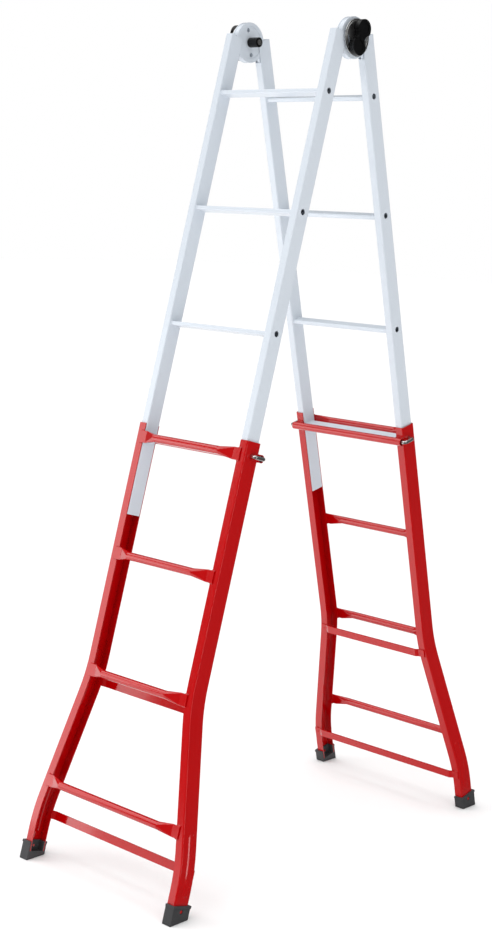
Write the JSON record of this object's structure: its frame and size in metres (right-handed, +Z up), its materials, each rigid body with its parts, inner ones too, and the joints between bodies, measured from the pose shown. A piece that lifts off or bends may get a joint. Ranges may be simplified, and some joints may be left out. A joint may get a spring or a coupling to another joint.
{
  "type": "multi position ladder",
  "caption": "Steel telescopic double ladder with white upper sections, red flared lower sections, lock pins and locking top hinges.",
  "frame": {"origin": "on the floor under the middle of the hinge axis", "axes": "+X along the hinge axis, front section on -Y, +Z up"},
  "size_m": [0.515, 1.1402, 1.9839],
  "materials": {
    "white_paint": "glossy white powder coat, slightly bluish",
    "red_paint": "glossy bright red powder coat",
    "bright_zinc": "bright zinc plating",
    "spring_steel": "drawn spring wire",
    "black_plastic": "black moulded nylon, semi gloss",
    "rubber_foot": "dark grey moulded rubber"
  },
  "bodies": {
    "front_upper": {"front_upper_stile_left": "white_paint", "front_upper_stile_right": "white_paint", "front_upper_rung_1": "white_paint", "front_upper_rung_2": "white_paint", "front_upper_rung_3": "white_paint", "front_upper_rung_4": "white_paint", "hinge_outer_cheek_left": "white_paint", "hinge_inner_cheek_left": "white_paint", "hinge_spring_left": "spring_steel", "hinge_outer_cheek_right": "white_paint", "hinge_inner_cheek_right": "white_paint", "hinge_spring_right": "spring_steel"},
    "front_lower": {"front_lower_stile_left": "red_paint", "front_foot_left": "rubber_foot", "front_lower_stile_right": "red_paint", "front_foot_right": "rubber_foot", "front_lower_rung_1": "red_paint", "front_lower_rung_2": "red_paint", "front_lower_rung_3": "red_paint", "front_lower_rung_4": "red_paint", "front_guide_tube": "red_paint", "front_middle_bar": "red_paint", "front_bottom_bar": "red_paint", "front_foot_rivets": "bright_zinc", "front_pin_springs": "spring_steel"},
    "rear_upper": {"rear_upper_stile_left": "white_paint", "rear_upper_stile_right": "white_paint", "rear_upper_rung_1": "white_paint", "rear_upper_rung_2": "white_paint", "rear_upper_rung_3": "white_paint", "rear_upper_rung_4": "white_paint", "hinge_rear_plate_left": "white_paint", "hinge_rear_plate_right": "white_paint"},
    "rear_lower": {"rear_lower_stile_left": "red_paint", "rear_foot_left": "rubber_foot", "rear_lower_stile_right": "red_paint", "rear_foot_right": "rubber_foot", "rear_lower_rung_1": "red_paint", "rear_lower_rung_2": "red_paint", "rear_lower_rung_3": "red_paint", "rear_lower_rung_4": "red_paint", "rear_guide_tube": "red_paint", "rear_middle_bar": "red_paint", "rear_bottom_bar": "red_paint", "rear_foot_rivets": "bright_zinc", "rear_pin_springs": "spring_steel"},
    "front_lock_left": {"front_lock_pin_left": "bright_zinc"},
    "front_lock_right": {"front_lock_pin_right": "bright_zinc"},
    "rear_lock_left": {"rear_lock_pin_left": "bright_zinc"},
    "rear_lock_right": {"rear_lock_pin_right": "bright_zinc"},
    "hinge_lock_left": {"hinge_lock_plate_left": "bright_zinc", "hinge_stud_left": "bright_zinc", "hinge_cup_left": "black_plastic", "hinge_nut_left": "bright_zinc"},
    "hinge_knob_left": {"hinge_knob_left": "black_plastic"},
    "hinge_lock_right": {"hinge_lock_plate_right": "bright_zinc", "hinge_stud_right": "bright_zinc", "hinge_cup_right": "black_plastic", "hinge_nut_right": "bright_zinc"},
    "hinge_knob_right": {"hinge_knob_right": "black_plastic"}
  },
  "joints": [
    {"name": "front_telescope", "type": "slide", "parent": "front_upper", "child": "front_lower", "axis": [0, 0.247, 0.969], "range_m": [0, 0.84]},
    {"name": "ladder_fold", "type": "hinge", "parent": "front_upper", "child": "rear_upper", "pos_m": [0, 0, 1.93696], "axis": [1, 0, 0], "range_deg": [-28.6, 151.4]},
    {"name": "rear_telescope", "type": "slide", "parent": "rear_upper", "child": "rear_lower", "axis": [0, -0.247, 0.969], "range_m": [0, 0.84]},
    {"name": "front_pin_left", "type": "slide", "parent": "front_lower", "child": "front_lock_left", "axis": [-1, 0, 0], "range_m": [-0.005, 0.008], "deforming": ["front_pin_springs"]},
    {"name": "front_pin_right", "type": "slide", "parent": "front_lower", "child": "front_lock_right", "axis": [1, 0, 0], "range_m": [-0.005, 0.008], "deforming": ["front_pin_springs"]},
    {"name": "rear_pin_left", "type": "slide", "parent": "rear_lower", "child": "rear_lock_left", "axis": [-1, 0, 0], "range_m": [-0.005, 0.008], "deforming": ["rear_pin_springs"]},
    {"name": "rear_pin_right", "type": "slide", "parent": "rear_lower", "child": "rear_lock_right", "axis": [1, 0, 0], "range_m": [-0.005, 0.008], "deforming": ["rear_pin_springs"]},
    {"name": "hinge_lock_slide_left", "type": "slide", "parent": "front_upper", "child": "hinge_lock_left", "axis": [-1, 0, 0], "range_m": [-0.004, 0], "deforming": ["hinge_spring_left"]},
    {"name": "hinge_knob_turn_left", "type": "hinge", "parent": "hinge_lock_left", "child": "hinge_knob_left", "pos_m": [0, 0, 1.93696], "axis": [-1, 0, 0], "range_deg": [-90, 0]},
    {"name": "hinge_lock_slide_right", "type": "slide", "parent": "front_upper", "child": "hinge_lock_right", "axis": [1, 0, 0], "range_m": [-0.004, 0], "deforming": ["hinge_spring_right"]},
    {"name": "hinge_knob_turn_right", "type": "hinge", "parent": "hinge_lock_right", "child": "hinge_knob_right", "pos_m": [0, 0, 1.93696], "axis": [1, 0, 0], "range_deg": [-90, 0]}
  ],
  "couplings": [
    {"joint": "hinge_lock_slide_left", "follows": "hinge_knob_turn_left", "m_per_rad": 0.0025465},
    {"joint": "hinge_lock_slide_right", "follows": "hinge_knob_turn_right", "m_per_rad": 0.0025465}
  ]
}
